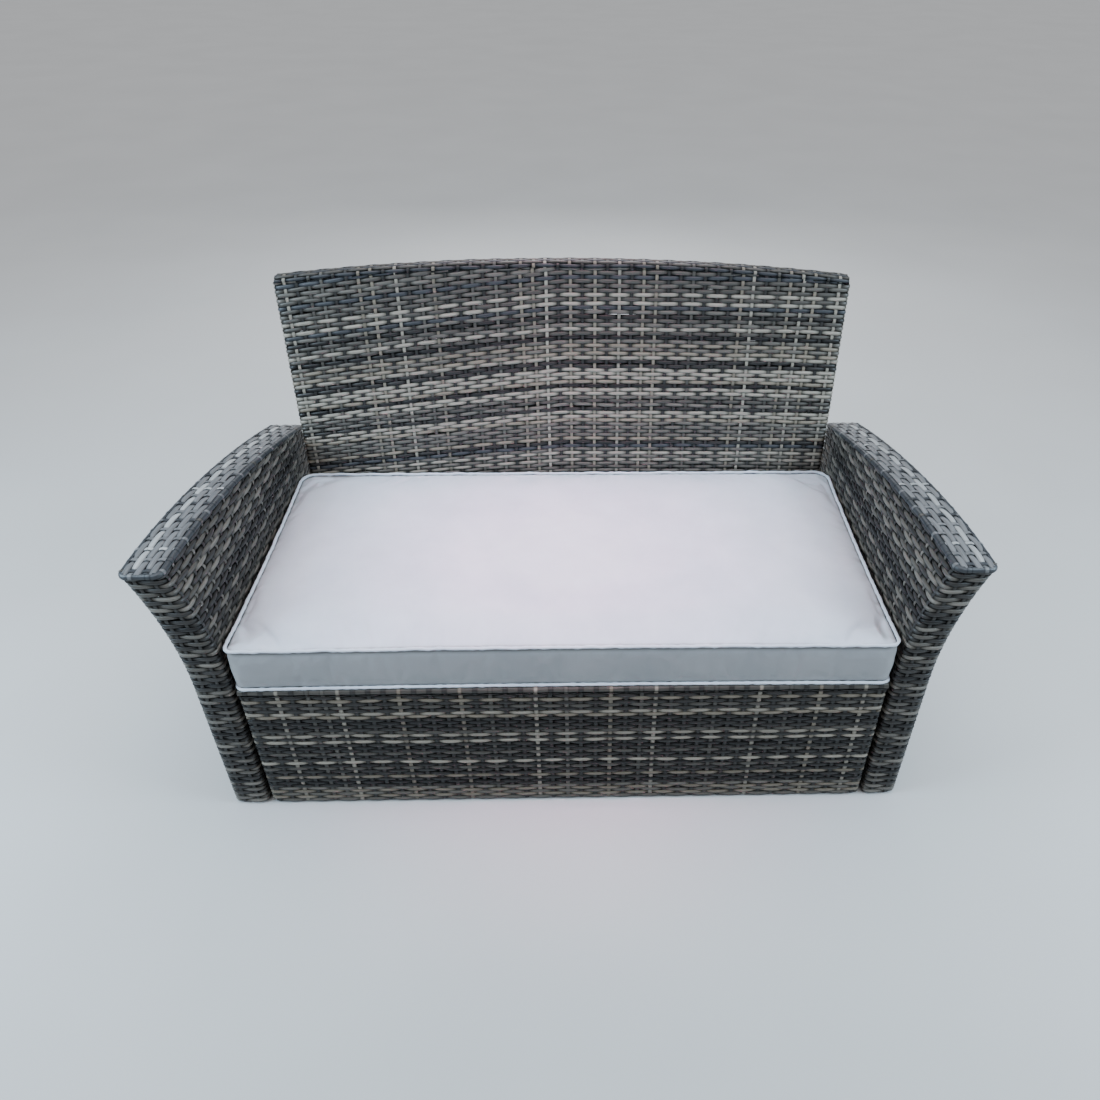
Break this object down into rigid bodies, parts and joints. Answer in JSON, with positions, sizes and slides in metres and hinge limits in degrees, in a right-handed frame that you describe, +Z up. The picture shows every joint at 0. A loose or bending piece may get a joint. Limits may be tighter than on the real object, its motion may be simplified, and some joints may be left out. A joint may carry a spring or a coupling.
{
  "type": "rattan garden sofa",
  "caption": "Two-seat garden sofa of woven synthetic rattan, with outward-leaning slab arms, an arched flat back, a woven skirt to the floor and one loose boxed cushion.",
  "frame": {"origin": "centre of the footprint, on the floor", "axes": "+X along the sofa to the right of someone facing its front, +Y from the front to the back, +Z up"},
  "size_m": [1.3256, 0.607, 0.8095],
  "materials": {
    "woven_strand": "satin flat strands in charcoal, slate and taupe",
    "arm_top_strand": "smooth wide strands, semi-gloss, blue-grey",
    "steel_tube": "dark powder coat",
    "zinc_steel": "bright zinc plate",
    "glide_plastic": "moulded, matte",
    "cover_fabric": "plain woven polyester, light grey",
    "piping_fabric": "plain woven polyester, light grey",
    "cushion_filling": "soft foam",
    "zip_tape": "closely woven tape"
  },
  "bodies": {
    "frame": {"left_arm_inner_front_upright": "steel_tube", "left_arm_inner_rear_upright": "steel_tube", "left_arm_inner_top_rail": "steel_tube", "left_arm_inner_bottom_rail": "steel_tube", "left_arm_outer_front_upright": "steel_tube", "left_arm_outer_rear_upright": "steel_tube", "left_arm_outer_top_rail": "steel_tube", "left_arm_outer_bottom_rail": "steel_tube", "left_arm_seat_rail": "steel_tube", "left_arm_weave": "woven_strand", "left_arm_top_strands": "arm_top_strand", "right_arm_inner_front_upright": "steel_tube", "right_arm_inner_rear_upright": "steel_tube", "right_arm_inner_top_rail": "steel_tube", "right_arm_inner_bottom_rail": "steel_tube", "right_arm_outer_front_upright": "steel_tube", "right_arm_outer_rear_upright": "steel_tube", "right_arm_outer_top_rail": "steel_tube", "right_arm_outer_bottom_rail": "steel_tube", "right_arm_seat_rail": "steel_tube", "right_arm_weave": "woven_strand", "right_arm_top_strands": "arm_top_strand", "left_front_glide": "glide_plastic", "left_rear_glide": "glide_plastic", "right_front_glide": "glide_plastic", "right_rear_glide": "glide_plastic", "back_bottom_rail": "steel_tube", "back_top_rail": "steel_tube", "back_cross_rail": "steel_tube", "back_centre_upright": "steel_tube", "back_left_upright": "steel_tube", "back_right_upright": "steel_tube", "back_weave": "woven_strand", "seat_front_rail": "steel_tube", "seat_rear_rail": "steel_tube", "seat_left_rail": "steel_tube", "seat_right_rail": "steel_tube", "seat_left_bar": "steel_tube", "seat_right_bar": "steel_tube", "seat_deck_weave": "woven_strand", "skirt_bottom_rail": "steel_tube", "skirt_left_post": "steel_tube", "skirt_right_post": "steel_tube", "skirt_centre_post": "steel_tube", "skirt_weave": "woven_strand", "skirt_edge_strand": "woven_strand", "left_arm_front_bolt": "zinc_steel", "left_arm_rear_bolt": "zinc_steel", "right_arm_front_bolt": "zinc_steel", "right_arm_rear_bolt": "zinc_steel", "back_left_bolt": "zinc_steel", "back_right_bolt": "zinc_steel"},
    "cushion": {"cushion_cover": "cover_fabric", "cushion_foam": "cushion_filling", "cushion_zip_tape": "zip_tape", "cushion_top_piping": "piping_fabric", "cushion_bottom_piping": "piping_fabric"},
    "slider": {"zip_slider": "zinc_steel"}
  },
  "joints": [
    {"name": "cushion_lift", "type": "slide", "parent": "frame", "child": "cushion", "axis": [0, 0, 1], "range_m": [0, 0.53]},
    {"name": "zip_slide", "type": "slide", "parent": "cushion", "child": "slider", "axis": [1, 0, 0], "range_m": [0, 0.853]}
  ]
}
